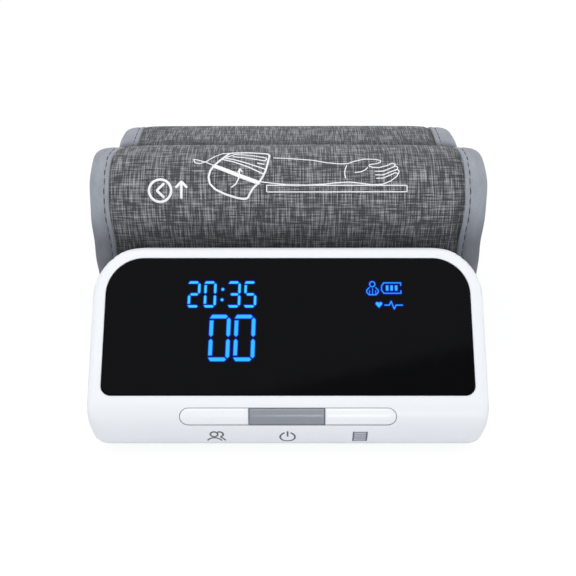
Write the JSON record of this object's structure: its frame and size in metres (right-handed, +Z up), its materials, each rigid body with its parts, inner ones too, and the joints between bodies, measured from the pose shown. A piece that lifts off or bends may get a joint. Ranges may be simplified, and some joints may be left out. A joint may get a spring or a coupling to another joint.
{
  "type": "upper arm blood pressure monitor",
  "caption": "Desktop blood pressure monitor: wedge housing with lit display and press keys, fixed to a pre-formed wrap cuff whose lap opens.",
  "frame": {"origin": "under the middle of the whole object, on the surface it stands on", "axes": "+X to the right across the display, -Y towards the user who reads it, +Z up"},
  "size_m": [0.145, 0.149, 0.0855],
  "materials": {
    "housing_white": "satin white moulded plastic",
    "back_white": "satin white moulded plastic",
    "window_black": "polished black panel",
    "light_frame_black": "matt black moulding",
    "lit_blue": "glowing blue light guide",
    "circuit_board": "green solder mask",
    "steel": "bright steel",
    "sensor_white": "moulded sensor case",
    "part_black": "black moulding",
    "key_white": "satin white key",
    "key_grey": "satin grey key",
    "soft_rubber": "matt rubber",
    "feet_grey": "matt grey rubber",
    "clear_hose": "milky silicone hose",
    "air_fittings": "natural moulded fittings",
    "cell_wrap": "blue shrink wrap",
    "cuff_cloth": "grey melange woven cloth",
    "liner_cloth": "brushed grey liner",
    "core_plastic": "formed plastic sheet",
    "binding_tape": "ribbed grey binding tape",
    "fastening": "hook and loop pile"
  },
  "bodies": {
    "monitor": {"front_housing": "housing_white", "rear_cover": "back_white", "base_cover": "back_white", "display_window": "window_black", "display_light_frame": "light_frame_black", "digit_light_guides": "lit_blue", "main_board": "circuit_board", "board_screws": "steel", "pressure_sensor": "sensor_white", "buzzer": "part_black", "key_switches": "part_black", "key_board": "circuit_board", "key_board_screws": "steel", "pump_motor": "steel", "pump_head": "part_black", "pump_sleeve": "soft_rubber", "release_valve": "steel", "air_manifold": "air_fittings", "pump_hose": "clear_hose", "sensor_hose": "clear_hose", "valve_hose": "clear_hose", "battery_cell": "cell_wrap", "charge_board": "circuit_board", "charging_socket": "steel", "rubber_feet": "feet_grey", "base_screws": "steel", "rear_screws": "steel", "bracket_screws": "steel", "cuff_bracket": "air_fittings", "cuff_rivets": "steel", "cuff_nozzle": "air_fittings", "nozzle_o_ring": "soft_rubber", "cuff_outer_cloth": "cuff_cloth", "cuff_core_sheet": "core_plastic", "cuff_bladder": "soft_rubber", "cuff_liner": "liner_cloth", "cuff_binding": "binding_tape", "loop_patch": "fastening"},
    "user_key": {"user_key": "key_white", "user_switch_plunger": "part_black"},
    "power_key": {"power_key": "key_grey", "power_switch_plunger": "part_black"},
    "memory_key": {"memory_key": "key_white", "memory_switch_plunger": "part_black"},
    "back_lap": {"back_lap_cloth": "cuff_cloth", "back_lap_core": "core_plastic", "back_lap_liner": "liner_cloth", "back_lap_binding": "binding_tape"},
    "tip_lap": {"tip_lap_cloth": "cuff_cloth", "tip_lap_core": "core_plastic", "tip_lap_liner": "liner_cloth", "tip_lap_binding": "binding_tape", "hook_patch": "fastening"}
  },
  "joints": [
    {"name": "user_key_press", "type": "slide", "parent": "monitor", "child": "user_key", "axis": [0, 0.891, -0.454], "range_m": [0, 0.0004], "stiffness_N_per_m": 1500},
    {"name": "power_key_press", "type": "slide", "parent": "monitor", "child": "power_key", "axis": [0, 0.891, -0.454], "range_m": [0, 0.0004], "stiffness_N_per_m": 1500},
    {"name": "memory_key_press", "type": "slide", "parent": "monitor", "child": "memory_key", "axis": [0, 0.891, -0.454], "range_m": [0, 0.0004], "stiffness_N_per_m": 1500},
    {"name": "back_lap_open", "type": "hinge", "parent": "monitor", "child": "back_lap", "pos_m": [0, 0.0745, 0.0332], "axis": [-1, 0, 0], "range_deg": [0, 90], "stiffness_Nm_per_rad": 0.12},
    {"name": "tip_lap_open", "type": "hinge", "parent": "back_lap", "child": "tip_lap", "pos_m": [0, 0.06865, 0.06257], "axis": [-1, 0, 0], "range_deg": [0, 60], "stiffness_Nm_per_rad": 0.08}
  ],
  "couplings": [
    {"joint": "tip_lap_open", "follows": "back_lap_open", "ratio": 0.66667}
  ]
}
